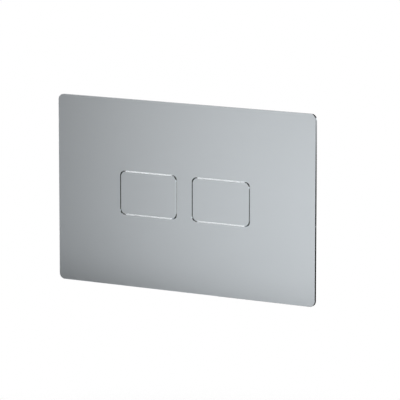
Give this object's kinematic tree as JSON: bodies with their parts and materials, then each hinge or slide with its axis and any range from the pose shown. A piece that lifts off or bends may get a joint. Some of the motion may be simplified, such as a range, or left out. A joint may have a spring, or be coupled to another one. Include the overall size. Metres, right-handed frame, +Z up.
{
  "type": "flush button plate",
  "caption": "Flat satin stainless flush plate with flush spring-return buttons, push rods, guide frame and clip-on bracket for a concealed cistern.",
  "frame": {"origin": "centre of the plate on the finished wall, which is the back face of its foam seal", "axes": "+X to the right seen from the front, +Y into the wall, +Z up"},
  "size_m": [0.25, 0.099, 0.16],
  "materials": {
    "satin_steel": "satin",
    "foam": "closed-cell foam",
    "frame_plastic": "moulded",
    "bracket_plastic": "moulded",
    "rod_plastic": "acetal",
    "ring_plastic": "moulded",
    "zinc": "zinc plated",
    "spring_steel": "drawn wire"
  },
  "bodies": {
    "plate": {"face_plate": "satin_steel", "weld_studs": "zinc", "wall_gasket": "foam", "guide_frame": "frame_plastic", "frame_nuts": "zinc", "mounting_bracket": "bracket_plastic", "fixing_washers": "zinc", "left_return_spring": "spring_steel", "left_latch_clip": "spring_steel", "left_fixing_bolt": "zinc", "left_retaining_ring": "ring_plastic", "right_return_spring": "spring_steel", "right_latch_clip": "spring_steel", "right_fixing_bolt": "zinc", "right_retaining_ring": "ring_plastic"},
    "left_button": {"left_button_cap": "satin_steel", "left_button_carrier": "frame_plastic", "left_damper": "foam", "left_push_rod": "rod_plastic", "left_rod_locknut": "rod_plastic"},
    "right_button": {"right_button_cap": "satin_steel", "right_button_carrier": "frame_plastic", "right_damper": "foam", "right_push_rod": "rod_plastic", "right_rod_locknut": "rod_plastic"}
  },
  "joints": [
    {"name": "left_button_press", "type": "slide", "parent": "plate", "child": "left_button", "axis": [0, 1, 0], "range_m": [0, 0.006], "stiffness_N_per_m": 1000, "springref_m": -0.006, "deforming": ["left_return_spring"]},
    {"name": "right_button_press", "type": "slide", "parent": "plate", "child": "right_button", "axis": [0, 1, 0], "range_m": [0, 0.006], "stiffness_N_per_m": 1000, "springref_m": -0.006, "deforming": ["right_return_spring"]}
  ]
}
